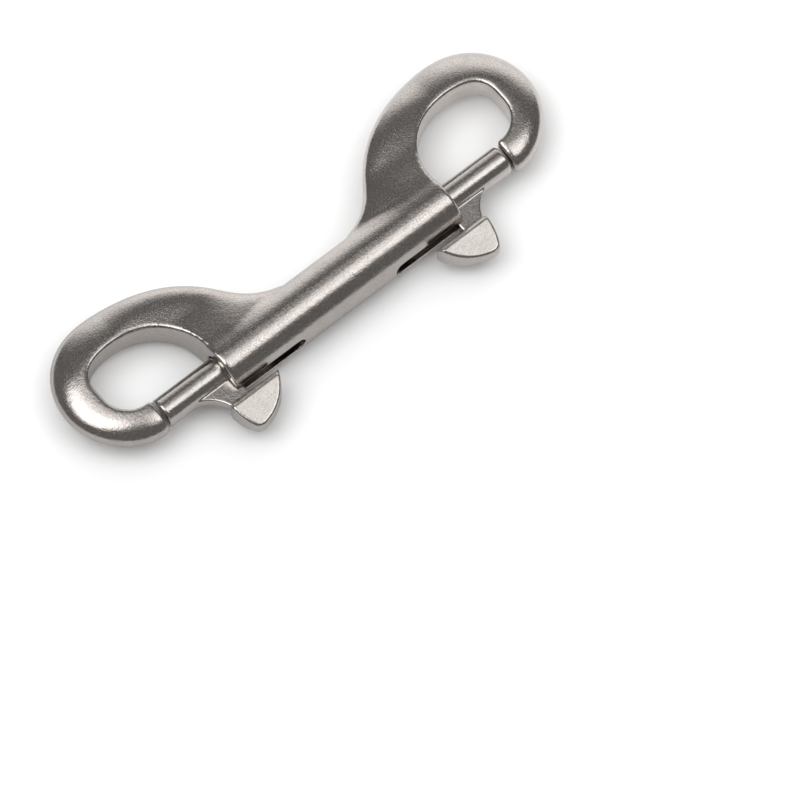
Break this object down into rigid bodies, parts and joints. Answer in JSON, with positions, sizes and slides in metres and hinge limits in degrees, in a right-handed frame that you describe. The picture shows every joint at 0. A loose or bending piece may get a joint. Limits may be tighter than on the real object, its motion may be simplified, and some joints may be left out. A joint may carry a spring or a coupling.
{
  "type": "double-ended bolt snap",
  "caption": "Double-ended bolt snap: a cast barrel with a hook eye at each end, each closed by a sprung sliding bolt with a fan-shaped thumb pad.",
  "frame": {"origin": "centre of the base of the bounding box", "axes": "+X along the barrel towards the right hook, +Y in the plane of the hooks from the thumb pads towards the hooks, +Z through the thickness"},
  "size_m": [0.1154, 0.0398, 0.0119],
  "materials": {
    "cast_body": "satin, tumbled investment casting with a fine orange-peel grain",
    "cast_bolt": "smooth satin on the rod, as-cast grain on the web and pad",
    "spring_wire": "drawn stainless spring wire"
  },
  "bodies": {
    "casting": {"body": "cast_body", "right_spring": "spring_wire", "left_spring": "spring_wire"},
    "right_slider": {"right_bolt": "cast_bolt"},
    "left_slider": {"left_bolt": "cast_bolt"}
  },
  "joints": [
    {"name": "right_bolt_slide", "type": "slide", "parent": "casting", "child": "right_slider", "axis": [-1, 0, 0], "range_m": [0, 0.015], "stiffness_N_per_m": 1200, "springref_m": -0.004, "deforming": ["right_spring"]},
    {"name": "left_bolt_slide", "type": "slide", "parent": "casting", "child": "left_slider", "axis": [1, 0, 0], "range_m": [0, 0.015], "stiffness_N_per_m": 1200, "springref_m": -0.004, "deforming": ["left_spring"]}
  ]
}
